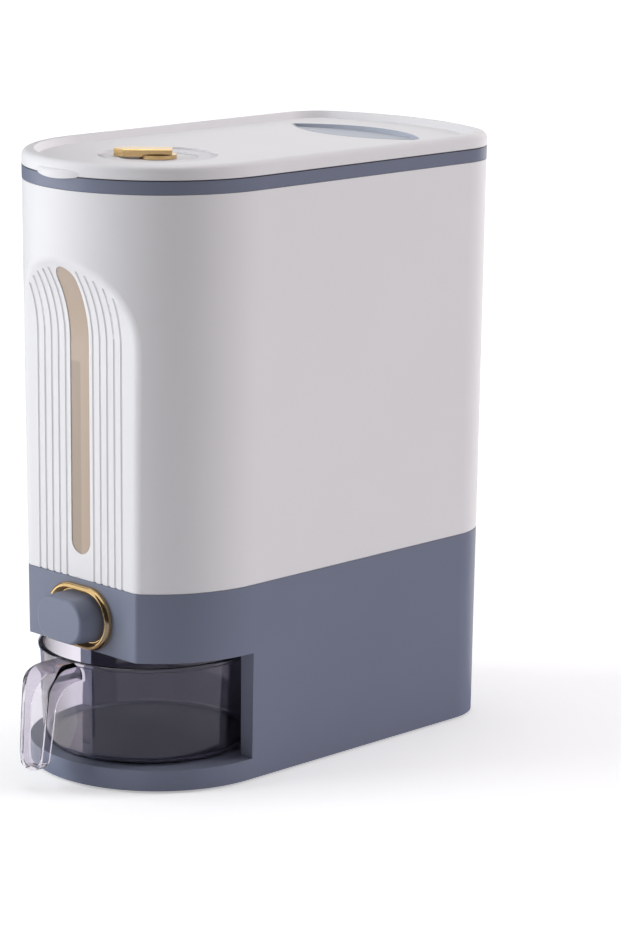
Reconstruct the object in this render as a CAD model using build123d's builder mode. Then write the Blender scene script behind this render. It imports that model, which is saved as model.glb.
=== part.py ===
"""Rice dispenser with a press-button gate, a flip lid and a lift-out measuring cup.

Millimetres, +Z up.  The front (button, window, cup) faces -Y, the lid hinge is at +Y.
The origin is on the table, in the mid plane, under the middle rubber pad.
"""
import math
import os

from build123d import *

os.makedirs("parts", exist_ok=True)

# ---------------------------------------------------------------- driving dimensions
BODY_Y = 12.0            # middle of the body without its rear bulge
BODY_WIDTH_LOW = 167.4   # at the table
BODY_WIDTH_HIGH = 177.0  # at the lid, the moulding draft opens upwards
BODY_DEPTH_LOW = 315.0
BODY_DEPTH_HIGH = 319.0
REAR_CORNER = 38.0
REAR_ARC = 165.0         # the rear wall is gently bowed
REAR_BULGE = 12.0
TOP_Z = 400.0
PAD_HEIGHT = 1.5
WALL = 2.5

SEAM_Z = 130.4           # white bin on the blue-grey base
COLLAR_Z = 381.8         # blue-grey collar on the white bin
COLLAR_TOP_Z = 390.7
LID_Z = 391.0
PANEL_Z = 395.6          # recessed top of the lid
PLATE = 2.4

FLAT_Y = -128.8          # flat front of the button band and the fluted panel
SCOOP_Z = 284.0          # above this height the panel curves out to the round front
SCOOP_RADIUS = 88.0
GROOVE_FIRST = 13.0      # first groove beside the window, then one every pitch
GROOVE_PITCH = 6.6
GROOVE_COUNT = 5
WINDOW_HALF = 9.0
WINDOW_LOW_Z = 147.0
WINDOW_HIGH_Z = 333.0

BAY_FLOOR_Z = 15.0       # cup bay, open to the front and to both sides
BAY_ROOF_Z = 85.5
BAY_WALL_Y = -58.0       # front edges of the side walls
BAY_Y = -69.0
BAY_RADIUS = 74.0        # round back of the bay, about the cup
CUP_Y = -71.5
CUP_TOP_Z = 80.0
CUP_FOOT_Z = 15.3
CUP_RADIUS_TOP = 70.4
CUP_RADIUS_LOW = 67.6
CUP_WALL = 2.0
HANDLE_Y = -173.3        # outer face of the hanging handle at its lower end
HANDLE_LOW_Z = 13.6
HANDLE_LEAN = 5.9        # degrees from upright
HANDLE_BEND = 18.0

BUTTON_Z = 106.6
BUTTON_FACE_Y = -148.3
BUTTON_TRAVEL = 13.0
GATE_Z = 104.0           # underside of the sliding gate plate
GATE_THICK = 2.4
THROAT_Y = -70.0         # outlet of the hopper, above the cup
THROAT_HALF_X = 30.0
THROAT_HALF_Y = 6.0

MOUTH_INSET = 14.0       # filling mouth, measured in from the outside of the body
HINGE_Y = 179.0
HINGE_Z = 388.0
HINGE_PIN_R = 1.6
KNUCKLE_R = 4.0
HINGE_FLOOR_Z = 383.4
DIAL_Y = -62.0
DIAL_RADIUS = 38.0
DIAL_Z = 393.4           # floor of the round dish that holds the dial
INSERT_Y = 115.5         # grey recessed insert near the hinge
INSERT_HALF_X = 60.0
INSERT_HALF_Y = 23.0
NOTCH_Z = 394.3          # the rear rim of the lid is cut away below this height
LIP_LOW_Z = 388.9
LIP_HALF_X = 22.0


# ---------------------------------------------------------------- shared outlines
def body_half(z, inset):
    """Half width and half depth of the body at height z, set in by inset."""
    share = z / 391.0
    half_w = (BODY_WIDTH_LOW + (BODY_WIDTH_HIGH - BODY_WIDTH_LOW) * share) / 2 - inset
    half_d = (BODY_DEPTH_LOW + (BODY_DEPTH_HIGH - BODY_DEPTH_LOW) * share) / 2 - inset
    return half_w, half_d


def plan(z, inset=0.0, shape_z=None):
    """Body outline at height z: half-round front, straight sides, bowed rear."""
    w, d = body_half(z if shape_z is None else shape_z, inset)
    r, arc = REAR_CORNER - inset, REAR_ARC - inset
    front, rear = BODY_Y - d, BODY_Y + d + REAR_BULGE
    reach = math.sqrt((arc - r) ** 2 - (w - r) ** 2)
    corner_y = rear - arc + reach
    touch_x, touch_y = (w - r) * arc / (arc - r), rear - arc + reach * arc / (arc - r)
    turn = math.atan2(reach, w - r) / 2
    mid_x, mid_y = w - r + r * math.cos(turn), corner_y + r * math.sin(turn)
    with BuildSketch(Plane.XY.offset(z)) as outline:
        with BuildLine():
            ThreePointArc((-w, front + w), (0, front), (w, front + w))
            Line((w, front + w), (w, corner_y))
            ThreePointArc((w, corner_y), (mid_x, mid_y), (touch_x, touch_y))
            ThreePointArc((touch_x, touch_y), (0, rear), (-touch_x, touch_y))
            ThreePointArc((-touch_x, touch_y), (-mid_x, mid_y), (-w, corner_y))
            Line((-w, corner_y), (-w, front + w))
        make_face()
    return outline.sketch


def scoop_y(z, offset=0.0):
    """Y of the front panel at height z, set back into the body by offset."""
    if z <= SCOOP_Z:
        return FLAT_Y + offset
    r = SCOOP_RADIUS + offset
    return FLAT_Y - SCOOP_RADIUS + math.sqrt(r * r - (z - SCOOP_Z) ** 2)


def scoop(offset):
    """Everything in front of the panel surface, the surface set back by offset."""
    z_end, z_mid = SCOOP_Z + 72.0, SCOOP_Z + 40.0
    with BuildPart() as block:
        with BuildSketch(Plane.YZ.offset(-100)):
            with BuildLine():
                Line((FLAT_Y + offset, 60), (FLAT_Y + offset, SCOOP_Z))
                ThreePointArc((FLAT_Y + offset, SCOOP_Z), (scoop_y(z_mid, offset), z_mid),
                              (scoop_y(z_end, offset), z_end))
                Polyline((scoop_y(z_end, offset), z_end), (-230, z_end), (-230, 60),
                         (FLAT_Y + offset, 60))
            make_face()
        extrude(amount=200)
    return block.part


def window_prism(half, grow):
    """Upright slot outline pushed through the front panel."""
    low, high = WINDOW_LOW_Z - grow, WINDOW_HIGH_Z + grow
    with BuildPart() as prism:
        with BuildSketch(Plane.XZ.offset(90)):
            with Locations((0, (low + high) / 2)):
                SlotOverall(high - low, 2 * half, rotation=90)
        extrude(amount=80)
    return prism.part


def edge_bevel(low_z, high_z, low_inset, high_inset):
    """Ring round the body that cuts a small bevel into an outer edge."""
    with BuildPart() as ring:
        extrude(plan(low_z, -4.0), amount=high_z - low_z)
        loft([plan(low_z, low_inset), plan(high_z, high_inset)], ruled=True, mode=Mode.SUBTRACT)
    return ring.part


def front_bevel(points):
    """Bar across the flat front that cuts a small bevel, from its side view."""
    with BuildPart() as bar:
        with BuildSketch(Plane.YZ.offset(-100)):
            with BuildLine():
                Polyline(*points, points[0])
            make_face()
        extrude(amount=200)
    return bar.part


def panel_edge_z(x):
    """Height at which the panel meets the round front of the bin, at this x."""
    z = SCOOP_Z
    while z < 360:
        w, d = body_half(z, 0.0)
        if z > SCOOP_Z + 70 or scoop_y(z) < BODY_Y - d + w - math.sqrt(w * w - x * x):
            break
        z += 0.5
    return z


# ---------------------------------------------------------------- base shell
# Hollow base: outer wall, button band, cup bay with round back, bay floor and bay roof.
with BuildPart() as bay_block:
    with BuildSketch(Plane.XY.offset(12.5)):
        with Locations((0, BAY_WALL_Y + WALL - 70)):
            Rectangle(240, 140)
        with Locations((0, BAY_Y)):
            Circle(BAY_RADIUS + WALL)
    extrude(amount=BAY_ROOF_Z + WALL - 12.5)

with BuildPart() as base_cavity:
    loft([plan(12.5, WALL), plan(SEAM_Z + 1, WALL)], ruled=True)
    add(bay_block.part, mode=Mode.SUBTRACT)
    add(scoop(WALL), mode=Mode.SUBTRACT)

with BuildPart() as base_shell:
    loft([plan(PAD_HEIGHT), plan(SEAM_Z)], ruled=True)
    with BuildSketch(Plane.XY.offset(BAY_ROOF_Z)):
        with Locations((0, FLAT_Y - 50)):
            Rectangle(240, 100)
    extrude(amount=60, mode=Mode.SUBTRACT)
    band_sides = base_shell.edges().filter_by(
        lambda e: abs(e.center().Y - FLAT_Y) < 1 and abs(e.center().X) > 30 and e.length > 40)
    fillet(band_sides, 4.0)
    add(edge_bevel(SEAM_Z - 0.5, SEAM_Z + 0.1, 0.0, 0.6), mode=Mode.SUBTRACT)
    add(front_bevel([(FLAT_Y - 1, SEAM_Z - 1.5), (FLAT_Y + 0.6, SEAM_Z + 0.1),
                     (FLAT_Y - 1, SEAM_Z + 0.1)]), mode=Mode.SUBTRACT)
    with BuildSketch(Plane.XY.offset(BAY_FLOOR_Z)):
        with Locations((0, BAY_WALL_Y - 70)):
            Rectangle(240, 140)
        with Locations((0, BAY_Y)):
            Circle(BAY_RADIUS)
    extrude(amount=BAY_ROOF_Z - BAY_FLOOR_Z, mode=Mode.SUBTRACT)
    add(base_cavity.part, mode=Mode.SUBTRACT)
    loft([plan(PAD_HEIGHT, WALL), plan(12.5, WALL)], ruled=True, mode=Mode.SUBTRACT)
    # screw bosses under the bay floor and on the side walls
    with BuildSketch(Plane.XY.offset(4.2)):
        with Locations((-44, -104), (44, -104)):
            Circle(4.5)
    extrude(amount=9)
    with BuildSketch(Plane.XY.offset(4.2)):
        with Locations((-78, 112), (78, 112)):
            Circle(4.5)
    extrude(amount=26)
    with BuildSketch(Plane.XY.offset(4.2)):
        with Locations((-44, -104), (44, -104), (-78, 112), (78, 112)):
            Circle(1.35)
    extrude(amount=8, mode=Mode.SUBTRACT)
    # opening of the button and of the rice chute
    with BuildSketch(Plane.XZ.offset(120)):
        with Locations((0, BUTTON_Z)):
            RectangleRounded(48.4, 35.4, 16.2)
    extrude(amount=20, mode=Mode.SUBTRACT)
    with BuildSketch(Plane.XY.offset(80)):
        with Locations((0, THROAT_Y)):
            Rectangle(65.8, 18.2)
    extrude(amount=12, mode=Mode.SUBTRACT)
base_shell.part.label = "base_shell"
export_step(base_shell.part, "parts/base_shell.step")

# Tongue inside the seam, on which the white bin is located.
with BuildPart() as seam_core:
    loft([plan(SEAM_Z - 6, WALL + 2.0), plan(SEAM_Z + 5, WALL + 2.0)], ruled=True)
    add(scoop(WALL + 2.0), mode=Mode.SUBTRACT)

with BuildPart() as seam_tongue:
    loft([plan(SEAM_Z - 6, WALL + 0.08), plan(SEAM_Z + 5, WALL + 0.08)], ruled=True)
    add(scoop(WALL + 0.08), mode=Mode.SUBTRACT)
    add(seam_core.part, mode=Mode.SUBTRACT)
    # open above the button
    with BuildSketch(Plane.XY.offset(SEAM_Z - 7)):
        with Locations((0, FLAT_Y)):
            Rectangle(62, 30)
    extrude(amount=7, mode=Mode.SUBTRACT)
seam_tongue.part.label = "seam_tongue"
export_step(seam_tongue.part, "parts/seam_tongue.step")

# ---------------------------------------------------------------- base cover, pads, screws
SCREW_SPOTS = ((-44, -104), (44, -104), (-78, 112), (78, 112))
PAD_SPOTS = (("front_left", -34, -122), ("front_right", 34, -122), ("middle", 0, 0),
             ("rear_left", -48, 150), ("rear_right", 48, 150))

with BuildPart() as base_cover:
    extrude(plan(PAD_HEIGHT, WALL + 0.2), amount=2.5)
    with BuildSketch(Plane.XY.offset(PAD_HEIGHT)):
        with Locations(*SCREW_SPOTS):
            Circle(1.7)
    extrude(amount=2.5, mode=Mode.SUBTRACT)
    with BuildSketch(Plane.XY.offset(PAD_HEIGHT)):
        with Locations(*SCREW_SPOTS):
            Circle(3.4)
    extrude(amount=1.3, mode=Mode.SUBTRACT)
    # stiffening ribs on the inside
    with BuildSketch(Plane.XY.offset(4.0)):
        for rib_y in (-60, -10, 40, 90):
            with Locations((0, rib_y)):
                Rectangle(130, 1.8)
        with Locations((-30, 15), (30, 15)):
            Rectangle(1.8, 150)
    extrude(amount=4)
base_cover.part.label = "base_cover"
export_step(base_cover.part, "parts/base_cover.step")

for pad_name, pad_x, pad_y in PAD_SPOTS:
    with BuildPart() as foot_pad:
        with BuildSketch(Plane.XY):
            with Locations((pad_x, pad_y)):
                Circle(9)
        extrude(amount=PAD_HEIGHT)
        chamfer(foot_pad.faces().sort_by(Axis.Z)[0].edges(), 0.4)
    foot_pad.part.label = "foot_pad_" + pad_name
    export_step(foot_pad.part, "parts/foot_pad_" + pad_name + ".step")

for screw_name, (screw_x, screw_y) in zip(
        ("front_left", "front_right", "rear_left", "rear_right"), SCREW_SPOTS):
    with BuildPart() as cover_screw:
        with BuildSketch(Plane.XY.offset(PAD_HEIGHT + 0.1)):
            with Locations((screw_x, screw_y)):
                Circle(2.9)
        extrude(amount=1.2)
        with BuildSketch(Plane.XY.offset(PAD_HEIGHT + 1.3)):
            with Locations((screw_x, screw_y)):
                Circle(1.3)
        extrude(amount=8)
        with BuildSketch(Plane.XY.offset(PAD_HEIGHT + 0.1)):
            with Locations((screw_x, screw_y)):
                Rectangle(3.4, 0.8)
                Rectangle(0.8, 3.4)
        extrude(amount=0.8, mode=Mode.SUBTRACT)
    cover_screw.part.label = "cover_screw_" + screw_name
    export_step(cover_screw.part, "parts/cover_screw_" + screw_name + ".step")

# ---------------------------------------------------------------- white bin
# Drafted shell with a scooped front panel: grooves beside an upright window slot.
with BuildPart() as bin_cavity:
    loft([plan(SEAM_Z - 1, WALL), plan(COLLAR_Z + 1, WALL)], ruled=True)
    add(scoop(WALL), mode=Mode.SUBTRACT)

with BuildPart() as bin_shell:
    loft([plan(SEAM_Z + 0.05), plan(COLLAR_Z)], ruled=True)
    add(scoop(0.0), mode=Mode.SUBTRACT)
    panel_rim = bin_shell.edges().filter_by(
        lambda e: e.center().Y < -100 and SEAM_Z + 5 < e.center().Z < COLLAR_Z - 5
        and (abs(e.center().X) > 45 or e.center().Z > 300))
    fillet(panel_rim, 9.0)
    add(edge_bevel(COLLAR_Z - 0.6, COLLAR_Z + 0.1, 0.0, 0.7), mode=Mode.SUBTRACT)
    add(edge_bevel(SEAM_Z, SEAM_Z + 0.6, 0.6, 0.0), mode=Mode.SUBTRACT)
    add(front_bevel([(FLAT_Y - 1, SEAM_Z + 1.6), (FLAT_Y + 0.6, SEAM_Z),
                     (FLAT_Y - 1, SEAM_Z)]), mode=Mode.SUBTRACT)
    add(bin_cavity.part, mode=Mode.SUBTRACT)
    add(window_prism(WINDOW_HALF, 0.0), mode=Mode.SUBTRACT)
    for number in range(GROOVE_COUNT):
        for side in (-1, 1):
            groove_x = side * (GROOVE_FIRST + GROOVE_PITCH * number)
            top_z = panel_edge_z(groove_x) - 6.0
            mid_z = (SCOOP_Z + top_z) / 2
            with BuildLine(Plane.YZ.offset(groove_x)) as groove_path:
                Line((scoop_y(125, -0.5), 125), (scoop_y(SCOOP_Z, -0.5), SCOOP_Z))
                ThreePointArc((scoop_y(SCOOP_Z, -0.5), SCOOP_Z), (scoop_y(mid_z, -0.5), mid_z),
                              (scoop_y(top_z, -0.5), top_z))
            with BuildSketch(Plane.XY.offset(125)):
                with Locations((groove_x, scoop_y(125, -0.5))):
                    Circle(1.3)
            sweep(path=groove_path.line, mode=Mode.SUBTRACT)
bin_shell.part.label = "bin_shell"
export_step(bin_shell.part, "parts/bin_shell.step")

# Clear window: the face sits in the slot, a wider flange lies behind the wall.
with BuildPart() as window_lens:
    add(window_prism(WINDOW_HALF - 0.1, -0.1))
    add(window_prism(WINDOW_HALF + 3.0, 3.0) & scoop(4.3) - scoop(WALL + 0.05))
    add(window_prism(WINDOW_HALF + 4.0, 4.0) & scoop(4.3) - scoop(0.5), mode=Mode.INTERSECT)
window_lens.part.label = "window_lens"
export_step(window_lens.part, "parts/window_lens.step")

with BuildPart() as window_gasket:
    add((window_prism(WINDOW_HALF + 5.5, 5.5) - window_prism(WINDOW_HALF + 3.1, 3.1))
        & scoop(4.1) - scoop(WALL + 0.05))
window_gasket.part.label = "window_gasket"
export_step(window_gasket.part, "parts/window_gasket.step")

# ---------------------------------------------------------------- hopper floor
# Four sloping planes lead the rice to the outlet above the cup.
def slope_block(side, front, rear):
    """Inverted pyramid whose planes start at the outlet, moved out by the given amounts."""
    with BuildPart() as block:
        with BuildSketch(Plane.XY.offset(112)):
            with Locations((0, THROAT_Y + (rear - front) / 2)):
                Rectangle(2 * (THROAT_HALF_X + side), 2 * THROAT_HALF_Y + front + rear)
        with BuildSketch(Plane.XY.offset(230)):
            low_y, high_y = -228.0 - front, 182.0 + rear
            with Locations((0, (low_y + high_y) / 2)):
                Rectangle(2 * (148.0 + side), high_y - low_y)
        loft(ruled=True)
    return block.part


with BuildPart() as hopper_floor:
    loft([plan(112.0, WALL + 0.1), plan(229.0, WALL + 0.1)], ruled=True)
    add(scoop(4.6), mode=Mode.SUBTRACT)
    add(slope_block(2.6, 2.6, 5.0), mode=Mode.INTERSECT)
    add(slope_block(0.0, 0.0, 0.0), mode=Mode.SUBTRACT)
    # collar round the outlet, which sits on the chute
    with BuildSketch(Plane.XY.offset(106.8)):
        with Locations((0, THROAT_Y)):
            Rectangle(2 * THROAT_HALF_X + 4.8, 2 * THROAT_HALF_Y + 4.8)
    extrude(amount=5.4)
    with BuildSketch(Plane.XY.offset(106.8)):
        with Locations((0, THROAT_Y)):
            Rectangle(2 * THROAT_HALF_X, 2 * THROAT_HALF_Y)
    extrude(amount=8, mode=Mode.SUBTRACT)
hopper_floor.part.label = "hopper_floor"
export_step(hopper_floor.part, "parts/hopper_floor.step")

# ---------------------------------------------------------------- outlet chute, gate guide
with BuildPart() as outlet_chute:
    with BuildSketch(Plane.XY.offset(BAY_ROOF_Z)):
        with Locations((0, THROAT_Y)):
            Rectangle(65.4, 17.8)
    extrude(amount=103.7 - BAY_ROOF_Z)
    with BuildSketch(Plane.XY.offset(BAY_ROOF_Z)):
        with Locations((0, THROAT_Y)):
            Rectangle(62.0, 14.4)
    extrude(amount=103.7 - BAY_ROOF_Z, mode=Mode.SUBTRACT)
outlet_chute.part.label = "outlet_chute"
export_step(outlet_chute.part, "parts/outlet_chute.step")

with BuildPart() as gate_guide:
    with BuildSketch(Plane.XY.offset(BAY_ROOF_Z + WALL)):
        with Locations((-36, -66.5), (36, -66.5)):
            Rectangle(6, 62)
        with Locations((0, -98.75)):
            Rectangle(78, 2.5)
        with Locations((0, -36.7)):
            Rectangle(78, 2.4)
    extrude(amount=20.5)
    with BuildSketch(Plane.XY.offset(BAY_ROOF_Z + WALL)):
        with Locations((0, -98.75)):
            Rectangle(40, 2.5)
    extrude(amount=30)
    with BuildSketch(Plane.XY.offset(GATE_Z - 0.3)):
        with Locations((0, -66.0)):
            Rectangle(73.8, 62.4)
    extrude(amount=GATE_THICK + 0.6, mode=Mode.SUBTRACT)
    with BuildSketch(Plane.XZ.offset(90)):
        with Locations((0, BUTTON_Z)):
            Circle(4.3)
    extrude(amount=12, mode=Mode.SUBTRACT)
gate_guide.part.label = "gate_guide"
export_step(gate_guide.part, "parts/gate_guide.step")

# ---------------------------------------------------------------- button, rod, gate, spring
with BuildPart() as button_bezel:
    with BuildSketch(Plane.XZ.offset(-FLAT_Y + 0.05)):
        with Locations((0, BUTTON_Z)):
            RectangleRounded(59, 41.2, 20.5)
    extrude(amount=4.6)
    fillet(button_bezel.faces().sort_by(Axis.Y)[0].edges(), 2.7)
    with BuildSketch(Plane.XZ.offset(117)):
        with Locations((0, BUTTON_Z)):
            RectangleRounded(48.2, 35.2, 16.1)
    extrude(amount=-FLAT_Y + 1 - 117)
    # dished inside that leads to the sleeve of the button
    with BuildSketch(Plane.XZ.offset(-FLAT_Y + 4.8)):
        with Locations((0, BUTTON_Z)):
            RectangleRounded(53.2, 36.8, 18.3)
    with BuildSketch(Plane.XZ.offset(-FLAT_Y + 0.6)):
        with Locations((0, BUTTON_Z)):
            RectangleRounded(45.6, 32.6, 14.8)
    loft(mode=Mode.SUBTRACT)
    with BuildSketch(Plane.XZ.offset(116)):
        with Locations((0, BUTTON_Z)):
            RectangleRounded(44.6, 31.6, 14.3)
    extrude(amount=30, mode=Mode.SUBTRACT)
button_bezel.part.label = "button_bezel"
export_step(button_bezel.part, "parts/button_bezel.step")

with BuildPart() as push_button:
    with BuildSketch(Plane.XZ.offset(128)):
        with Locations((0, BUTTON_Z)):
            RectangleRounded(44, 31, 14.0)
    with BuildSketch(Plane.XZ.offset(-BUTTON_FACE_Y)):
        with Locations((0, BUTTON_Z + 0.6)):
            RectangleRounded(42.6, 29, 13.0)
    loft()
    fillet(push_button.faces().sort_by(Axis.Y)[0].edges(), 2.4)
    with BuildSketch(Plane.XZ.offset(115)):
        with Locations((0, BUTTON_Z)):
            RectangleRounded(44, 31, 14.0)
    extrude(amount=13)
    # flange that stops the button behind the sleeve
    with BuildSketch(Plane.XZ.offset(114)):
        with Locations((0, BUTTON_Z)):
            RectangleRounded(47.6, 34.6, 15.8)
    extrude(amount=2.6)
    with BuildSketch(Plane.XZ.offset(113)):
        with Locations((0, BUTTON_Z)):
            RectangleRounded(39.6, 26.6, 11.8)
    extrude(amount=25, mode=Mode.SUBTRACT)
    with BuildSketch(Plane.XZ.offset(132)):
        with Locations((0, BUTTON_Z)):
            Circle(5.0)
            Circle(4.02, mode=Mode.SUBTRACT)
    extrude(amount=7)
push_button.part.label = "push_button"
export_step(push_button.part, "parts/push_button.step")

with BuildPart() as push_rod:
    with BuildSketch(Plane.XZ.offset(97)):
        with Locations((0, BUTTON_Z)):
            Circle(4.0)
    extrude(amount=40.8)
    with BuildSketch(Plane.XY.offset(GATE_Z + GATE_THICK + 0.05)):
        with Locations((0, -94.8)):
            Rectangle(14, 4.4)
    extrude(amount=5.0)
    with BuildSketch(Plane.XY.offset(GATE_Z - 0.1)):
        with Locations((-4, -94.6), (4, -94.6)):
            Circle(1.3)
    extrude(amount=3)
push_rod.part.label = "push_rod"
export_step(push_rod.part, "parts/push_rod.step")

with BuildPart() as gate_plate:
    with BuildSketch(Plane.XY.offset(GATE_Z)):
        with Locations((0, -74.3)):
            Rectangle(73.2, 44.6)
        with Locations((0, -84)):
            Rectangle(60, 12, mode=Mode.SUBTRACT)
        with Locations((-4, -94.6), (4, -94.6)):
            Circle(1.4, mode=Mode.SUBTRACT)
    extrude(amount=GATE_THICK)
gate_plate.part.label = "gate_plate"
export_step(gate_plate.part, "parts/gate_plate.step")

SPRING_FRONT_Y = -137.9
SPRING_REAR_Y = -100.1
COIL_LENGTH = SPRING_REAR_Y - SPRING_FRONT_Y - 1.2
COIL_TURNS, COIL_STEPS, COIL_RADIUS = 7, 12, 6.0
coil_points = [(COIL_RADIUS * math.cos(2 * math.pi * step / COIL_STEPS),
                COIL_RADIUS * math.sin(2 * math.pi * step / COIL_STEPS),
                COIL_LENGTH * step / (COIL_TURNS * COIL_STEPS))
               for step in range(COIL_TURNS * COIL_STEPS + 1)]
with BuildPart() as coil:
    with BuildLine() as coil_path:
        Polyline(*coil_points)
    with BuildSketch(Plane(coil_path.line @ 0, z_dir=coil_path.line % 0)):
        RegularPolygon(0.62, 6)
    sweep(path=coil_path.line, transition=Transition.RIGHT)

with BuildPart() as return_spring:
    add(coil.part.rotate(Axis.X, 90).translate((0, SPRING_REAR_Y - 0.6, BUTTON_Z)))
return_spring.part.label = "return_spring"
export_step(return_spring.part, "parts/return_spring.step")

# ---------------------------------------------------------------- collar, hinge pin
with BuildPart() as rim_collar:
    loft([plan(COLLAR_Z, 0.5), plan(COLLAR_Z + 0.5), plan(COLLAR_TOP_Z)], ruled=True)
    loft([plan(COLLAR_Z - 7, WALL + 0.1), plan(COLLAR_Z, WALL + 0.1)], ruled=True)
    extrude(plan(COLLAR_Z - 8, WALL + 2.0), amount=7.2, mode=Mode.SUBTRACT)
    extrude(plan(COLLAR_Z - 2, MOUTH_INSET, COLLAR_Z), amount=20, mode=Mode.SUBTRACT)
    # room for the lid knuckles at the rear, and the ears that carry the pin
    with BuildSketch(Plane.XY.offset(HINGE_FLOOR_Z)):
        with Locations((0, HINGE_Y - KNUCKLE_R - 0.4 + 15)):
            Rectangle(48, 30)
    extrude(amount=20, mode=Mode.SUBTRACT)
    for ear_x, ear_width in ((-20, 7), (0, 10), (20, 7)):
        with BuildSketch(Plane.YZ.offset(ear_x - ear_width / 2)):
            with Locations((HINGE_Y, HINGE_Z)):
                Circle(KNUCKLE_R)
            with Locations((HINGE_Y - 1, (COLLAR_Z + HINGE_Z) / 2)):
                Rectangle(2 * KNUCKLE_R + 2, HINGE_Z - COLLAR_Z)
        extrude(amount=ear_width)
    with BuildSketch(Plane.YZ.offset(-24)):
        with Locations((HINGE_Y, HINGE_Z)):
            Circle(HINGE_PIN_R + 0.02)
    extrude(amount=48, mode=Mode.SUBTRACT)
rim_collar.part.label = "rim_collar"
export_step(rim_collar.part, "parts/rim_collar.step")

with BuildPart() as hinge_pin:
    with BuildSketch(Plane.YZ.offset(-23.4)):
        with Locations((HINGE_Y, HINGE_Z)):
            Circle(HINGE_PIN_R)
    extrude(amount=46.8)
    chamfer(hinge_pin.edges().filter_by(GeomType.CIRCLE), 0.3)
hinge_pin.part.label = "hinge_pin"
export_step(hinge_pin.part, "parts/hinge_pin.step")

# ---------------------------------------------------------------- lid
def lens_outline(z, grow):
    """Lens of two arcs that carries the grey insert."""
    half_x, front_y = INSERT_HALF_X + grow, INSERT_HALF_Y + grow * 0.6
    rear_y = front_y + 2.6
    with BuildSketch(Plane.XY.offset(z)) as lens:
        with BuildLine():
            ThreePointArc((-half_x, INSERT_Y), (0, INSERT_Y - front_y), (half_x, INSERT_Y))
            ThreePointArc((half_x, INSERT_Y), (0, INSERT_Y + rear_y), (-half_x, INSERT_Y))
        make_face()
    return lens.sketch


LIP_FRONT_Y = BODY_Y - body_half(LID_Z, 0)[1]
with BuildPart() as thumb_lip:
    with BuildSketch(Plane.XY.offset(LIP_LOW_Z - 1)):
        with BuildLine():
            ThreePointArc((-LIP_HALF_X, LIP_FRONT_Y + 3.4), (0, LIP_FRONT_Y - 2.4),
                          (LIP_HALF_X, LIP_FRONT_Y + 3.4))
            Polyline((LIP_HALF_X, LIP_FRONT_Y + 3.4), (LIP_HALF_X, LIP_FRONT_Y + 7),
                     (-LIP_HALF_X, LIP_FRONT_Y + 7), (-LIP_HALF_X, LIP_FRONT_Y + 3.4))
        make_face()
    extrude(amount=6.6)
    fillet(thumb_lip.faces().sort_by(Axis.Z)[-1].edges().sort_by(Axis.Y)[0], 2.0)
    with BuildSketch(Plane.XZ.offset(-LIP_FRONT_Y - 10)):
        with BuildLine():
            ThreePointArc((-LIP_HALF_X, LID_Z + 0.1), (0, LIP_LOW_Z), (LIP_HALF_X, LID_Z + 0.1))
            Polyline((LIP_HALF_X, LID_Z + 0.1), (LIP_HALF_X, LID_Z + 8),
                     (-LIP_HALF_X, LID_Z + 8), (-LIP_HALF_X, LID_Z + 0.1))
        make_face()
    extrude(amount=20, mode=Mode.INTERSECT)
    extrude(plan(LIP_LOW_Z - 2, -0.35, LID_Z), amount=LID_Z + 2 - LIP_LOW_Z, mode=Mode.SUBTRACT)
    extrude(plan(LID_Z - 1, 1.5, LID_Z), amount=10, mode=Mode.SUBTRACT)

with BuildPart() as lid_shell:
    loft([plan(LID_Z), plan(TOP_Z, 0.0, LID_Z)], ruled=True)
    fillet(lid_shell.faces().sort_by(Axis.Z)[-1].edges(), 4.5)
    loft([plan(PANEL_Z, 10.5), plan(TOP_Z + 0.01, 8.0)], ruled=True, mode=Mode.SUBTRACT)
    extrude(plan(LID_Z, 2.2), amount=PANEL_Z - PLATE - LID_Z, mode=Mode.SUBTRACT)
    # round dish of the dial
    with BuildSketch(Plane.XY.offset(DIAL_Z - 2.0)):
        with Locations((0, DIAL_Y)):
            Circle(DIAL_RADIUS + 2.5)
    extrude(amount=3)
    with BuildSketch(Plane.XY.offset(DIAL_Z)):
        with Locations((0, DIAL_Y)):
            Circle(DIAL_RADIUS)
    extrude(amount=6, mode=Mode.SUBTRACT)
    with BuildSketch(Plane.XY.offset(389)):
        with Locations((0, DIAL_Y)):
            Circle(3.2)
    extrude(amount=8, mode=Mode.SUBTRACT)
    extrude(lens_outline(390, 0.1), amount=12, mode=Mode.SUBTRACT)
    # the rear edge is cut away below, so that it clears the collar when the lid swings back
    with BuildSketch(Plane.XY.offset(389)):
        with Locations((0, HINGE_Y - 3.6 + 15)):
            Rectangle(104, 30)
    extrude(amount=NOTCH_Z - 389, mode=Mode.SUBTRACT)
    # knuckles between the ears of the collar
    for arm_x in (-10.75, 10.75):
        with BuildSketch(Plane.YZ.offset(arm_x - 5.4)):
            with Locations((HINGE_Y, HINGE_Z)):
                Circle(KNUCKLE_R)
            with Locations((HINGE_Y - 1, (HINGE_Z + NOTCH_Z + 0.7) / 2)):
                Rectangle(6, NOTCH_Z + 0.7 - HINGE_Z)
            with Locations((HINGE_Y - 4, 393.3)):
                Rectangle(8, 3.6)
        extrude(amount=10.8)
    with BuildSketch(Plane.YZ.offset(-20)):
        with Locations((HINGE_Y, HINGE_Z)):
            Circle(HINGE_PIN_R + 0.06)
    extrude(amount=40, mode=Mode.SUBTRACT)
    # thumb lip: the lower edge of the rim bulges out and down in front of the collar
    add(thumb_lip.part)
lid_shell.part.label = "lid_shell"
export_step(lid_shell.part, "parts/lid_shell.step")

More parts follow.
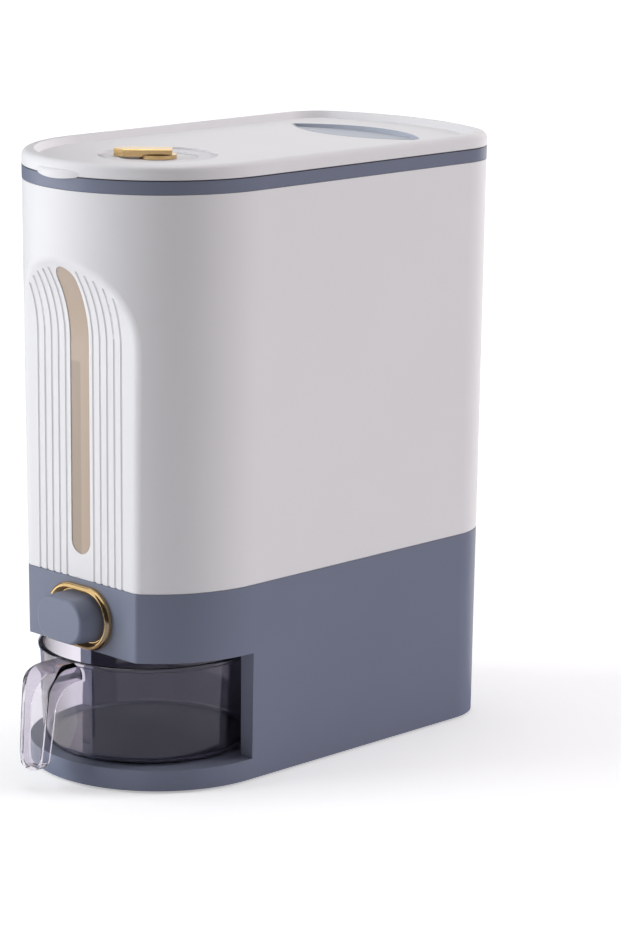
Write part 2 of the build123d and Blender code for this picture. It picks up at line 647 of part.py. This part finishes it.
with BuildPart() as lid_liner:
    extrude(plan(385.0, MOUTH_INSET + 2.0, COLLAR_Z), amount=PANEL_Z - PLATE - 385.1)
    extrude(plan(387.0, MOUTH_INSET + 4.0, COLLAR_Z), amount=10, mode=Mode.SUBTRACT)
    # air slots above the absorber box
    with BuildSketch(Plane.XY.offset(384)):
        with Locations(*[(x, 100) for x in range(-32, 33, 8)]):
            SlotOverall(24, 3, rotation=90)
    extrude(amount=4, mode=Mode.SUBTRACT)
lid_liner.part.label = "lid_liner"
export_step(lid_liner.part, "parts/lid_liner.step")

with BuildPart() as lid_seal:
    extrude(plan(386.0, MOUTH_INSET + 0.7, COLLAR_Z), amount=3.0)
    extrude(plan(386.0, MOUTH_INSET + 1.98, COLLAR_Z), amount=3.0, mode=Mode.SUBTRACT)
lid_seal.part.label = "lid_seal"
export_step(lid_seal.part, "parts/lid_seal.step")

# Grey insert: lens-shaped dish whose floor falls towards the hinge.
with BuildPart() as lid_insert:
    extrude(lens_outline(388.0, 0.0), amount=PANEL_Z + 0.2 - 388.0)
    extrude(lens_outline(389.5, -1.8), amount=10, mode=Mode.SUBTRACT)
    with BuildSketch(Plane.YZ.offset(-60)):
        with BuildLine():
            Polyline((INSERT_Y - 24, 388.1), (INSERT_Y + 27, 388.1), (INSERT_Y + 27, 392.6),
                     (INSERT_Y - 24, 395.0), (INSERT_Y - 24, 388.1))
        make_face()
    extrude(amount=120)
    extrude(lens_outline(388.0, 0.0), amount=12, mode=Mode.INTERSECT)
lid_insert.part.label = "lid_insert"
export_step(lid_insert.part, "parts/lid_insert.step")

with BuildPart() as absorber_box:
    with BuildSketch(Plane.XY.offset(375)):
        with Locations((0, 100)):
            RectangleRounded(84, 36, 5)
    extrude(amount=9.8)
    with BuildSketch(Plane.XY.offset(376.6)):
        with Locations((0, 100)):
            RectangleRounded(80.8, 32.8, 3.6)
    extrude(amount=10, mode=Mode.SUBTRACT)
    with BuildSketch(Plane.XY.offset(374)):
        with Locations(*[(x, 100) for x in range(-32, 33, 8)]):
            SlotOverall(24, 3, rotation=90)
    extrude(amount=4, mode=Mode.SUBTRACT)
absorber_box.part.label = "absorber_box"
export_step(absorber_box.part, "parts/absorber_box.step")

# ---------------------------------------------------------------- dial and pointer
with BuildPart() as dial_ring:
    with BuildSketch(Plane.XY.offset(DIAL_Z + 0.05)):
        with Locations((0, DIAL_Y)):
            Circle(DIAL_RADIUS - 0.4)
            Circle(DIAL_RADIUS - 13.0, mode=Mode.SUBTRACT)
    extrude(amount=1.2)
    chamfer(dial_ring.faces().sort_by(Axis.Z)[-1].edges(), 0.4)
    with BuildSketch(Plane.XY.offset(DIAL_Z + 1.0)):
        with Locations((0, DIAL_Y)):
            with PolarLocations(DIAL_RADIUS - 2.6, 31):
                Rectangle(2.4, 0.7)
    extrude(amount=0.5, mode=Mode.SUBTRACT)
dial_ring.part.label = "dial_ring"
export_step(dial_ring.part, "parts/dial_ring.step")

def pointer_spot(along, across):
    """Point on the pointer bar, which is turned towards the front left corner."""
    root = math.sqrt(2.0)
    return (-along + across) / root, DIAL_Y + (-along - across) / root


# Pointer bar on a round hub.
with BuildPart() as dial_pointer:
    with BuildSketch(Plane.XY.offset(DIAL_Z + 0.3)):
        with Locations((0, DIAL_Y)):
            Circle(12.0)
    extrude(amount=2.4)
    with BuildSketch(Plane.XY.offset(DIAL_Z + 1.7)):
        with BuildLine():
            Polyline(*[pointer_spot(along, across) for along, across in
                       ((-9, -7), (22, -7), (28, -3), (28, 3), (22, 7), (-9, 7), (-9, -7))])
        make_face()
    extrude(amount=4.7)
    chamfer(dial_pointer.faces().sort_by(Axis.Z)[-1].edges(), 0.7)
    with BuildSketch(Plane.XY.offset(PANEL_Z - 6.4)):
        with Locations((0, DIAL_Y)):
            Circle(3.1)
    extrude(amount=5)
dial_pointer.part.label = "dial_pointer"
export_step(dial_pointer.part, "parts/dial_pointer.step")

with BuildPart() as pointer_clip:
    with BuildSketch(Plane.XY.offset(DIAL_Z - 3.5)):
        with Locations((0, DIAL_Y)):
            Circle(5.6)
            Circle(3.12, mode=Mode.SUBTRACT)
    extrude(amount=1.2)
pointer_clip.part.label = "pointer_clip"
export_step(pointer_clip.part, "parts/pointer_clip.step")

# ---------------------------------------------------------------- measuring cup
# Clear cup with rolled rim; the handle is a U-channel that leaves the rim and hangs down.
def handle_side(inner):
    """Side view of the handle; inner gives the hollow between web and flange edges."""
    web = 2.2 if inner else 0.0
    lean = math.radians(HANDLE_LEAN)
    top = CUP_TOP_Z - 0.4 - web
    bend = HANDLE_BEND - web
    bend_z = CUP_TOP_Z - 0.4 - HANDLE_BEND
    end_z = bend_z + bend * math.sin(lean)
    end_y = HANDLE_Y + web / math.cos(lean) + (end_z - HANDLE_LOW_Z) * math.tan(lean)
    bend_y = end_y + bend * math.cos(lean)
    half = (math.pi / 2 - lean) / 2
    mid = (bend_y - bend * math.sin(half), bend_z + bend * math.cos(half))
    foot = (HANDLE_Y + web - 6 * math.tan(lean), HANDLE_LOW_Z - 6)
    # edge of the flanges, which widens from the grip to the rim
    edge = [(-166.4, HANDLE_LOW_Z - 6), (-161.6, 48), (-157.6, 61), (-147.5, 68.7), (-126, 69.8)]
    if inner:
        edge = [(y + 4, z - 4) for y, z in edge]
    with BuildSketch(Plane.YZ.offset(-20)) as side:
        with BuildLine():
            Line((-126, top), (bend_y, top))
            ThreePointArc((bend_y, top), mid, (end_y, end_z))
            Polyline((end_y, end_z), foot, edge[0], edge[1])
            ThreePointArc(edge[1], edge[2], edge[3])
            Polyline(edge[3], edge[4], (-126, top))
        make_face()
    return side.sketch


def handle_front(inset):
    """Front view of the handle: wide at the rim, narrower at the grip, round lower end."""
    low = HANDLE_LOW_Z + inset
    with BuildSketch(Plane.XZ.offset(110)) as front:
        with BuildLine():
            Polyline((-15.5 + inset, CUP_TOP_Z), (-12.6 + inset, CUP_TOP_Z - 14),
                     (-11.8 + inset, CUP_TOP_Z - 34), (-9.9 + inset, low),
                     (9.9 - inset, low), (11.8 - inset, CUP_TOP_Z - 34),
                     (12.6 - inset, CUP_TOP_Z - 14), (15.5 - inset, CUP_TOP_Z),
                     (-15.5 + inset, CUP_TOP_Z))
        make_face()
        fillet(front.vertices().group_by(Axis.Z)[0], 8.4 - inset)
    return front.sketch


with BuildPart() as handle_core:
    extrude(handle_side(True), amount=40)
    extrude(handle_front(2.0), amount=90, mode=Mode.INTERSECT)

with BuildPart() as handle:
    extrude(handle_side(False), amount=40)
    extrude(handle_front(0.0), amount=90, mode=Mode.INTERSECT)
    add(handle_core.part, mode=Mode.SUBTRACT)

with BuildPart() as cup:
    with BuildSketch(Plane.XZ.offset(-CUP_Y)) as cup_side:
        with BuildLine():
            Polyline((0, CUP_FOOT_Z), (CUP_RADIUS_LOW, CUP_FOOT_Z),
                     (CUP_RADIUS_TOP, CUP_TOP_Z - 3), (CUP_RADIUS_TOP + 1.1, CUP_TOP_Z - 2),
                     (CUP_RADIUS_TOP + 1.1, CUP_TOP_Z - 0.5),
                     (CUP_RADIUS_TOP + 0.6, CUP_TOP_Z), (0, CUP_TOP_Z), (0, CUP_FOOT_Z))
        make_face()
        fillet(cup_side.vertices().group_by(Axis.Y)[0].sort_by(Axis.X)[-1], 4.5)
    revolve(axis=Axis((0, CUP_Y, 0), (0, 0, 1)))
    add(handle.part)
    with BuildSketch(Plane.XZ.offset(-CUP_Y)) as cup_hollow:
        with BuildLine():
            Polyline((0, CUP_FOOT_Z + CUP_WALL), (CUP_RADIUS_LOW - CUP_WALL, CUP_FOOT_Z + CUP_WALL),
                     (CUP_RADIUS_TOP - CUP_WALL, CUP_TOP_Z + 0.5), (0, CUP_TOP_Z + 0.5),
                     (0, CUP_FOOT_Z + CUP_WALL))
        make_face()
        fillet(cup_hollow.vertices().group_by(Axis.Y)[0].sort_by(Axis.X)[-1], 3.0)
    revolve(axis=Axis((0, CUP_Y, 0), (0, 0, 1)), mode=Mode.SUBTRACT)
cup.part.label = "cup"
export_step(cup.part, "parts/cup.step")
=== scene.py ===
import math
import bmesh
import bpy
from mathutils import Matrix, Vector


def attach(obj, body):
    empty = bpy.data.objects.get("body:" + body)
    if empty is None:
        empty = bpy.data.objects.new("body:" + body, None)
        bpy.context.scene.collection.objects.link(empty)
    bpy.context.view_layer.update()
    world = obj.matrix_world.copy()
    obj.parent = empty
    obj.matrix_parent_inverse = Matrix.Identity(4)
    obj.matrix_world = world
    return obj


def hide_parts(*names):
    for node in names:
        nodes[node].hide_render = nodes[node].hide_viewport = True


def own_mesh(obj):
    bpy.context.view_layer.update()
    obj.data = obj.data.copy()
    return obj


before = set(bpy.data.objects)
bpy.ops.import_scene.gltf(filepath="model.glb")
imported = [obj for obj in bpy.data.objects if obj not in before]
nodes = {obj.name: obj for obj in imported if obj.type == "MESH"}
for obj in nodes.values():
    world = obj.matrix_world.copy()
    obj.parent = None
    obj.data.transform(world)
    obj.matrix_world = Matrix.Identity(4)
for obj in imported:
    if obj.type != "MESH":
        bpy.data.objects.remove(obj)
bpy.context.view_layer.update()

# ---------------------------------------------------------------- white bin and lid
# Two shells of injection-moulded ABS. The bin stands on the base, and its front is set back to
# a fluted panel round the window. The lid turns on a steel pin at the rear of the collar.

MM = 0.001                 # sizes in mm, times MM, are metres


def linear(hex_colour):
    """sRGB hex, such as "#E9E8EC", to linear RGBA."""
    parts = [int(hex_colour[i:i + 2], 16) / 255 for i in (1, 3, 5)]
    return [c / 12.92 if c < 0.04045 else ((c + 0.055) / 1.055) ** 2.4 for c in parts] + [1.0]


def add_node(tree, kind, settings=None, **inputs):
    """Adds a shader node, sets its properties, then fills or links its inputs by name. A name
    such as i6 is the input's number, for nodes whose inputs share a name."""
    node = tree.nodes.new(kind)
    for name, value in (settings or {}).items():
        setattr(node, name, value)
    for name, value in inputs.items():
        socket = node.inputs[int(name[1:])] if name[0] == "i" and name[1:].isdigit() \
            else node.inputs[name.replace("_", " ")]
        if isinstance(value, bpy.types.NodeSocket):
            tree.links.new(value, socket)
        else:
            socket.default_value = value
    return node


def new_material(name):
    """An empty node material and the Principled shader that it ends in."""
    material = bpy.data.materials.new(name)
    material.use_nodes = True
    tree = material.node_tree
    return material, tree, tree.nodes["Principled BSDF"]


# Painted shade: a dark line of colour on upright faces at a joint, for the shadow in the gap.
JOINT_PAINTED_SHADE = "#3C3C46"
JOINT_REACH_MM = 0.5       # how far the dark line reaches from the joint
UPRIGHT = 0.3              # most that the normal of an upright face rises or falls


def painted_joint_shade(tree, place, height_mm):
    """Mask of painted shade: 1 on upright faces close to the joint at that height, 0 elsewhere."""
    height = add_node(tree, "ShaderNodeSeparateXYZ", Vector=place)
    near = add_node(tree, "ShaderNodeMath", {"operation": "COMPARE"}, i0=height.outputs["Z"],
                    i1=height_mm * MM, i2=JOINT_REACH_MM * MM)
    facing = add_node(tree, "ShaderNodeNewGeometry").outputs["Normal"]
    tilt = add_node(tree, "ShaderNodeSeparateXYZ", Vector=facing)
    upright = add_node(tree, "ShaderNodeMath", {"operation": "COMPARE"},
                       i0=tilt.outputs["Z"], i1=0.0, i2=UPRIGHT)
    return add_node(tree, "ShaderNodeMath", {"operation": "MULTIPLY"},
                    i0=near.outputs["Value"], i1=upright.outputs["Value"]).outputs["Value"]


DRIFT_MM = 90.0            # width of the clouds in which the colour drifts
GLOSS_SPREAD = 0.05        # how far the roughness goes up and down with the grain
GRAIN_STRENGTH = 0.35
PLASTIC_IOR = 1.53


def moulded_plastic(name, hex_colour, hex_shade, roughness, grain_mm, depth_mm, joint_mm=None):
    """Moulded plastic: colour drifts a little, the mould's spark-eroded grain shows as bump.
    The real grain is too fine to show, so it is drawn as coarse as grain_mm. Close to the
    joint with the next piece, at height joint_mm, a fine line of painted shade darkens it."""
    material, tree, shader = new_material(name)
    place = add_node(tree, "ShaderNodeTexCoord").outputs["Object"]
    drift = add_node(tree, "ShaderNodeTexNoise", Vector=place, Scale=1 / (DRIFT_MM * MM), Detail=2.0)
    colour = add_node(tree, "ShaderNodeMix", {"data_type": "RGBA"},
                      i0=drift.outputs["Fac"], i6=linear(hex_shade), i7=linear(hex_colour))
    # Painted shade along the joint, for the shadow in the gap between the pieces.
    if joint_mm:
        colour = add_node(tree, "ShaderNodeMix", {"data_type": "RGBA"},
                          i0=painted_joint_shade(tree, place, joint_mm),
                          i6=colour.outputs[2], i7=linear(JOINT_PAINTED_SHADE))
    grain = add_node(tree, "ShaderNodeTexNoise", Vector=place, Scale=1 / (grain_mm * MM),
                     Detail=3.0, Roughness=0.6)
    gloss = add_node(tree, "ShaderNodeMapRange", Value=grain.outputs["Fac"],
                     To_Min=roughness - GLOSS_SPREAD, To_Max=roughness + GLOSS_SPREAD)
    bump = add_node(tree, "ShaderNodeBump", Height=grain.outputs["Fac"],
                    Distance=depth_mm * MM, Strength=GRAIN_STRENGTH)
    tree.links.new(colour.outputs[2], shader.inputs["Base Color"])
    tree.links.new(gloss.outputs["Result"], shader.inputs["Roughness"])
    tree.links.new(bump.outputs["Normal"], shader.inputs["Normal"])
    shader.inputs["IOR"].default_value = PLASTIC_IOR
    return material


def dress(material, *names):
    """Gives CAD nodes a material in place of the one they came with."""
    for name in names:
        node = nodes[name]
        node.data.materials.clear()
        node.data.materials.append(material)


# Satin white ABS: soft wide highlights, no mirror image, a faint cool cast, and a fine dark
# line of painted shade where the bin meets the base, for the shadow in the seam.
SEAM_HEIGHT = 130.4
white_abs = moulded_plastic("satin white ABS", "#EEEDEF", "#EAE9EB", roughness=0.42,
                            grain_mm=0.9, depth_mm=0.02, joint_mm=SEAM_HEIGHT)
dress(white_abs, "bin_shell", "lid_shell")

# ---------------------------------------------------------------- blue-grey base and collar
# Moulded ABS base with the cup bay, the collar round the filling mouth and the push button,
# all from one colour batch. The collar's skirt sits inside the top of the bin, and a tongue in
# the seam locates the bin on the base.

# Satin blue-grey ABS: a little glossier than the white, so its broad highlights are clearer,
# and a fine dark line of painted shade where the collar meets the lid, for the shadow under
# the lid's edge.
COLLAR_TOP = 390.7
blue_grey_abs = moulded_plastic("satin blue-grey ABS", "#7D8396", "#787E91", roughness=0.38,
                                grain_mm=0.8, depth_mm=0.02, joint_mm=COLLAR_TOP)
dress(blue_grey_abs, "base_shell", "rim_collar", "push_button", "seam_tongue")

# ---------------------------------------------------------------- inner mouldings
# Hopper floor, lid liner, absorber box, dial ring, gate plate and push rod of polypropylene,
# matt from the mould; the outlet chute, gate guide, base cover and lid insert are the same
# plastic, tinted grey.

# Matt polypropylene: waxy and even, the white a touch greyer than the shell beside it.
white_pp = moulded_plastic("matt white polypropylene", "#E6E5E8", "#E0DFE3", roughness=0.5,
                           grain_mm=1.2, depth_mm=0.03)
dress(white_pp, "hopper_floor", "lid_liner", "absorber_box", "dial_ring", "gate_plate",
      "push_rod")
grey_pp = moulded_plastic("matt grey polypropylene", "#BEC3CE", "#B8BDC8", roughness=0.45,
                          grain_mm=1.2, depth_mm=0.03)
dress(grey_pp, "lid_insert", "outlet_chute", "gate_guide", "base_cover")

# ---------------------------------------------------------------- gold trim
# The bezel, whose sleeve sits in the front of the base and guides the button, and the pointer
# of the dial, held by a clip below. Both are polished ABS with a vacuum-plated skin.

# Gold-plated ABS: shows the bright and dark bands of the room, a little softened by haze.
GOLD_HAZE_MM = 6.0
GOLD_CLEAR, GOLD_HAZY = 0.12, 0.22
gold, gold_tree, gold_shader = new_material("gold-plated ABS")
gold_place = add_node(gold_tree, "ShaderNodeTexCoord").outputs["Object"]
gold_haze = add_node(gold_tree, "ShaderNodeTexNoise", Vector=gold_place,
                     Scale=1 / (GOLD_HAZE_MM * MM))
gold_gloss = add_node(gold_tree, "ShaderNodeMapRange", Value=gold_haze.outputs["Fac"],
                      To_Min=GOLD_CLEAR, To_Max=GOLD_HAZY)
gold_colour = add_node(gold_tree, "ShaderNodeMix", {"data_type": "RGBA"},
                       i0=gold_haze.outputs["Fac"], i6=linear("#DDB77C"), i7=linear("#E8CA95"))
gold_tree.links.new(gold_colour.outputs[2], gold_shader.inputs["Base Color"])
gold_tree.links.new(gold_gloss.outputs["Result"], gold_shader.inputs["Roughness"])
gold_shader.inputs["Metallic"].default_value = 1.0
dress(gold, "button_bezel", "dial_pointer")

# ---------------------------------------------------------------- window
# Tinted lens, moulded in polycarbonate. Its face fills the slot of the panel, and a wider
# flange lies behind the wall in a gasket.

# Tinted polycarbonate: satin warm beige. It is opaque here, so its colour also stands for the
# dim bin behind it, and painted shade makes it darker low down on the left.
# Edges of the band of painted shade, in mm.
BAND_TOP, BAND_TOP_BLUR = 271.0, 1.0           # height of its upper edge, mm
BAND_SIDE, BAND_SIDE_BLUR = 0.1, 0.5           # its right edge, mm to the right of the middle
lens, lens_tree, lens_shader = new_material("tinted polycarbonate")
lens_place = add_node(lens_tree, "ShaderNodeTexCoord").outputs["Object"]
lens_axes = add_node(lens_tree, "ShaderNodeSeparateXYZ", Vector=lens_place)
lens_left = add_node(lens_tree, "ShaderNodeMapRange", Value=lens_axes.outputs["X"],
                     From_Min=(BAND_SIDE + BAND_SIDE_BLUR) * MM,
                     From_Max=(BAND_SIDE - BAND_SIDE_BLUR) * MM)
lens_low = add_node(lens_tree, "ShaderNodeMapRange", Value=lens_axes.outputs["Z"],
                    From_Min=(BAND_TOP + BAND_TOP_BLUR) * MM,
                    From_Max=(BAND_TOP - BAND_TOP_BLUR) * MM)
lens_painted_shade = add_node(lens_tree, "ShaderNodeMath", {"operation": "MULTIPLY"},
                     i0=lens_left.outputs["Result"], i1=lens_low.outputs["Result"])
lens_colour = add_node(lens_tree, "ShaderNodeMix", {"data_type": "RGBA"},
                       i0=lens_painted_shade.outputs["Value"], i6=linear("#B9A593"), i7=linear("#AA9888"))
lens_tree.links.new(lens_colour.outputs[2], lens_shader.inputs["Base Color"])
lens_shader.inputs["Roughness"].default_value = 0.22
lens_shader.inputs["IOR"].default_value = 1.58
dress(lens, "window_lens")

# ---------------------------------------------------------------- measuring cup
# Loose cup that stands in the bay under the outlet, moulded in one piece of SAN with its
# channel handle, and drawn out by it.

# Smoky clear SAN: faint grey-violet. Seen along the skin, at the rim and the edges of the
# handle, it turns deep brown: painted shade for the dark room that these edges mirror and
# bend, and partly the longer way the light takes through the plastic there.
SMOKE_FLOW_MM = 25.0
EDGE_SHADE_STARTS, EDGE_SHADE_DEEPEST = 0.32, 0.85       # slant of the skin, 0 face on, 1 edge on
smoke, smoke_tree, smoke_shader = new_material("smoky clear SAN")
smoke_place = add_node(smoke_tree, "ShaderNodeTexCoord").outputs["Object"]
smoke_flow = add_node(smoke_tree, "ShaderNodeTexNoise", Vector=smoke_place,
                      Scale=1 / (SMOKE_FLOW_MM * MM))
smoke_colour = add_node(smoke_tree, "ShaderNodeMix", {"data_type": "RGBA"},
                        i0=smoke_flow.outputs["Fac"], i6=linear("#E6E1EA"), i7=linear("#EBE7EE"))
# Painted shade that deepens as the skin turns edge on.
smoke_slant = add_node(smoke_tree, "ShaderNodeLayerWeight", Blend=0.5)
edge_shade_depth = add_node(smoke_tree, "ShaderNodeMapRange", Value=smoke_slant.outputs["Facing"],
                       From_Min=EDGE_SHADE_STARTS, From_Max=EDGE_SHADE_DEEPEST)
smoke_with_edge_shade = add_node(smoke_tree, "ShaderNodeMix", {"data_type": "RGBA"},
                      i0=edge_shade_depth.outputs["Result"], i6=smoke_colour.outputs[2],
                      i7=linear("#3A302E"))
smoke_tree.links.new(smoke_with_edge_shade.outputs[2], smoke_shader.inputs["Base Color"])
smoke_shader.inputs["Roughness"].default_value = 0.03
smoke_shader.inputs["IOR"].default_value = 1.5
smoke_shader.inputs["Transmission Weight"].default_value = 1.0
dress(smoke, "cup")

# ---------------------------------------------------------------- rubber and steel
# Pads under the base cover, lid seal and window gasket, all moulded in elastomer; the turned
# hinge pin, cover screws, pointer clip and wound spring are of steel.

# Grey elastomer: dull and dark, with hardly a highlight.
rubber = moulded_plastic("grey elastomer", "#4A4C50", "#424448", roughness=0.7,
                         grain_mm=1.0, depth_mm=0.03)
dress(rubber, "window_gasket", "lid_seal", "foot_pad_front_left", "foot_pad_front_right",
      "foot_pad_middle", "foot_pad_rear_left", "foot_pad_rear_right")

# Zinc-plated steel: pale metal, blurred by the crystals of the zinc, which are too fine to
# show and are drawn 2 mm wide.
ZINC_CRYSTAL_MM = 2.0
ZINC_CLEAR, ZINC_HAZY = 0.25, 0.4
steel, steel_tree, steel_shader = new_material("zinc-plated steel")
steel_place = add_node(steel_tree, "ShaderNodeTexCoord").outputs["Object"]
steel_haze = add_node(steel_tree, "ShaderNodeTexNoise", Vector=steel_place,
                      Scale=1 / (ZINC_CRYSTAL_MM * MM))
steel_gloss = add_node(steel_tree, "ShaderNodeMapRange", Value=steel_haze.outputs["Fac"],
                       To_Min=ZINC_CLEAR, To_Max=ZINC_HAZY)
steel_tree.links.new(steel_gloss.outputs["Result"], steel_shader.inputs["Roughness"])
steel_shader.inputs["Base Color"].default_value = linear("#B9BABC")
steel_shader.inputs["Metallic"].default_value = 1.0
dress(steel, "return_spring", "hinge_pin", "pointer_clip", "cover_screw_front_left",
      "cover_screw_front_right", "cover_screw_rear_left", "cover_screw_rear_right")

# ---------------------------------------------------------------- return spring
# Coil wound from steel wire, held between the inside of the button and the wall of the gate
# guide. This copy, with a mesh of its own, stands in for it and hangs on the housing.
spring = bpy.data.objects.new("coil_spring", nodes["return_spring"].data.copy())
spring.matrix_world = nodes["return_spring"].matrix_world.copy()
bpy.context.collection.objects.link(spring)
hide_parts("return_spring")
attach(spring, "housing")
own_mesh(spring)

# ---------------------------------------------------------------- studio
# White floor and surroundings that every clear view meets as plain white. A cool key from the
# front left, a grazing lamp from behind on the right and one overhead leave the curve between
# front and side in shade.


def seen_mask(tree):
    """1 for rays from the camera, from mirrors and through clear plastic, 0 for the rest."""
    ray = add_node(tree, "ShaderNodeLightPath")
    direct = add_node(tree, "ShaderNodeMath", {"operation": "MAXIMUM"},
                      i0=ray.outputs["Is Camera Ray"], i1=ray.outputs["Is Glossy Ray"])
    return add_node(tree, "ShaderNodeMath", {"operation": "MAXIMUM"},
                    i0=direct.outputs["Value"],
                    i1=ray.outputs["Is Transmission Ray"]).outputs["Value"]


# The floor glows for such rays, more so farther out, until it runs into the white around it.
# The studio's sizes are in metres.
FLOOR_SIZE, FLOOR_DROP = 60.0, 0.2 * MM
FLOOR_NEAR, FLOOR_FAR = 0.8, 3.0
GLOW_NEAR, GLOW_FAR = 0.40, 0.90
bpy.ops.mesh.primitive_plane_add(size=FLOOR_SIZE, location=(0, 0, -FLOOR_DROP))
floor = bpy.context.object
floor.name = "floor"
floor_paint, floor_tree, floor_shader = new_material("white studio floor")
floor_shader.inputs["Base Color"].default_value = linear("#F4F4F4")
floor_shader.inputs["Roughness"].default_value = 0.9
floor_place = add_node(floor_tree, "ShaderNodeTexCoord").outputs["Object"]
floor_reach = add_node(floor_tree, "ShaderNodeVectorMath", {"operation": "LENGTH"}, i0=floor_place)
floor_far = add_node(floor_tree, "ShaderNodeMapRange", Value=floor_reach.outputs["Value"],
                     From_Min=FLOOR_NEAR, From_Max=FLOOR_FAR,
                     To_Min=GLOW_NEAR, To_Max=GLOW_FAR)
floor_lift = add_node(floor_tree, "ShaderNodeMath", {"operation": "MULTIPLY"},
                      i0=seen_mask(floor_tree), i1=floor_far.outputs["Result"])
floor_shader.inputs["Emission Color"].default_value = linear("#FFFFFF")
floor_tree.links.new(floor_lift.outputs["Value"], floor_shader.inputs["Emission Strength"])
floor.data.materials.append(floor_paint)

AMBIENT, AMBIENT_TINT = 0.27, (1.0, 0.95, 0.975, 1.0)
world = bpy.data.worlds.new("studio")
bpy.context.scene.world = world
world.use_nodes = True
sky_tree = world.node_tree
sky = sky_tree.nodes["Background"]
sky_seen = seen_mask(sky_tree)
sky_level = add_node(sky_tree, "ShaderNodeMapRange", Value=sky_seen, To_Min=AMBIENT, To_Max=1.0)
sky_colour = add_node(sky_tree, "ShaderNodeMix", {"data_type": "RGBA"},
                      i0=sky_seen, i6=AMBIENT_TINT, i7=linear("#FFFFFF"))
sky_tree.links.new(sky_colour.outputs[2], sky.inputs["Color"])
sky_tree.links.new(sky_level.outputs["Result"], sky.inputs["Strength"])


def soft_lamp(name, size, power, colour, at, aim, mirrored=True):
    """A square area lamp at a place, turned to a point. It is never seen through clear
    plastic, and glossy finishes show it only if mirrored."""
    lamp = bpy.data.lights.new(name, "AREA")
    lamp.size = size
    lamp.energy = power
    lamp.color = colour
    lamp_object = bpy.data.objects.new(name, lamp)
    lamp_object.location = at
    lamp_object.rotation_euler = (Vector(aim) - Vector(at)).to_track_quat("-Z", "Y").to_euler()
    lamp_object.visible_glossy = mirrored
    lamp_object.visible_transmission = False
    bpy.context.collection.objects.link(lamp_object)


# A dark cloth wall round the front right and another at the left rear, seen only in
# reflections: they give the gold its dark bands, keep the shaded curve deep and outline the
# cup. A blue mat runs along the floor to each wall.
CLOTH_RADIUS, CLOTH_HEIGHT, MAT_FROM, CLOTH_STEPS = 0.75, 1.1, 0.05, 24
CLOTH_BEGINS, CLOTH_FULL = 1 * MM, 5 * MM      # heights over which mat turns into cloth
cloth_paint, cloth_tree, cloth_shader = new_material("dark cloth and blue mat")
cloth_place = add_node(cloth_tree, "ShaderNodeTexCoord").outputs["Object"]
cloth_rise = add_node(cloth_tree, "ShaderNodeSeparateXYZ", Vector=cloth_place)
cloth_wall = add_node(cloth_tree, "ShaderNodeMapRange", Value=cloth_rise.outputs["Z"],
                      From_Min=CLOTH_BEGINS, From_Max=CLOTH_FULL)
cloth_colour = add_node(cloth_tree, "ShaderNodeMix", {"data_type": "RGBA"},
                        i0=cloth_wall.outputs["Result"], i6=linear("#A6AFD2"), i7=linear("#2C2C34"))
cloth_tree.links.new(cloth_colour.outputs[2], cloth_shader.inputs["Base Color"])
cloth_shader.inputs["Roughness"].default_value = 1.0


def dark_cloth(name, first, last):
    """Curtain and mat between two bearings in degrees, counted from +X."""
    bearings = [math.radians(first + (last - first) * step / CLOTH_STEPS)
                for step in range(CLOTH_STEPS + 1)]
    shape = bmesh.new()
    rows = [[shape.verts.new((radius * math.cos(turn), radius * math.sin(turn), height))
             for turn in bearings]
            for radius, height in ((MAT_FROM, 0.0), (CLOTH_RADIUS, 0.0),
                                   (CLOTH_RADIUS, CLOTH_HEIGHT))]
    for low, high in zip(rows, rows[1:]):
        for step in range(CLOTH_STEPS):
            shape.faces.new((low[step], low[step + 1], high[step + 1], high[step]))
    mesh = bpy.data.meshes.new(name)
    shape.to_mesh(mesh)
    shape.free()
    mesh.materials.append(cloth_paint)
    cloth = bpy.data.objects.new(name, mesh)
    bpy.context.collection.objects.link(cloth)
    for ray in ("camera", "diffuse", "transmission", "shadow", "volume_scatter"):
        setattr(cloth, "visible_" + ray, False)


dark_cloth("cloth at the front right", first=-104, last=75)
dark_cloth("cloth at the left rear", first=-215, last=-160)

soft_lamp("key", size=1.5, power=46.0, colour=(0.94, 0.98, 1.0),
          at=(-1.55, -1.85, 1.0), aim=(0, 0, 0.2), mirrored=False)
soft_lamp("rear", size=2.8, power=375.0, colour=(1.0, 0.955, 0.965),
          at=(4.8, 6.48, 2.4), aim=(0, 0, 0.2), mirrored=False)
soft_lamp("top", size=1.0, power=9.0, colour=(1.0, 1.0, 1.0),
          at=(-0.2, 0.2, 2.2), aim=(0, 0, 0.4))

# ---------------------------------------------------------------- camera
# Solved from the photograph: 45 degrees round, 13 above, through a long lens 2.2 m away. The
# roll is in radians, and the focal length in pixels of a frame FRAME_HEIGHT pixels high.
CAMERA_AT = Vector((1534.87, -1458.02, 667.76)) * MM
AZIMUTH, ELEVATION, ROLL = math.radians(45.01), math.radians(12.85), 0.00826
FOCAL_PIXELS, FRAME_HEIGHT, SENSOR, CLIP_END = 3295.83, 931, 36.0, 20.0
back = Vector((math.sin(AZIMUTH) * math.cos(ELEVATION),
               -math.cos(AZIMUTH) * math.cos(ELEVATION), math.sin(ELEVATION)))
level = Vector((math.cos(AZIMUTH), math.sin(AZIMUTH), 0))
rise = back.cross(level)
right = level * math.cos(ROLL) + rise * math.sin(ROLL)
up = rise * math.cos(ROLL) - level * math.sin(ROLL)
camera = bpy.data.objects.new("camera", bpy.data.cameras.new("camera"))
camera.matrix_world = Matrix.Translation(CAMERA_AT) @ Matrix((
    (right.x, up.x, back.x, 0), (right.y, up.y, back.y, 0), (right.z, up.z, back.z, 0),
    (0, 0, 0, 1)))
camera.data.sensor_width = SENSOR
camera.data.lens = FOCAL_PIXELS * SENSOR / FRAME_HEIGHT
camera.data.clip_end = CLIP_END
bpy.context.collection.objects.link(camera)
bpy.context.scene.camera = camera
bpy.context.scene.view_settings.view_transform = "Standard"
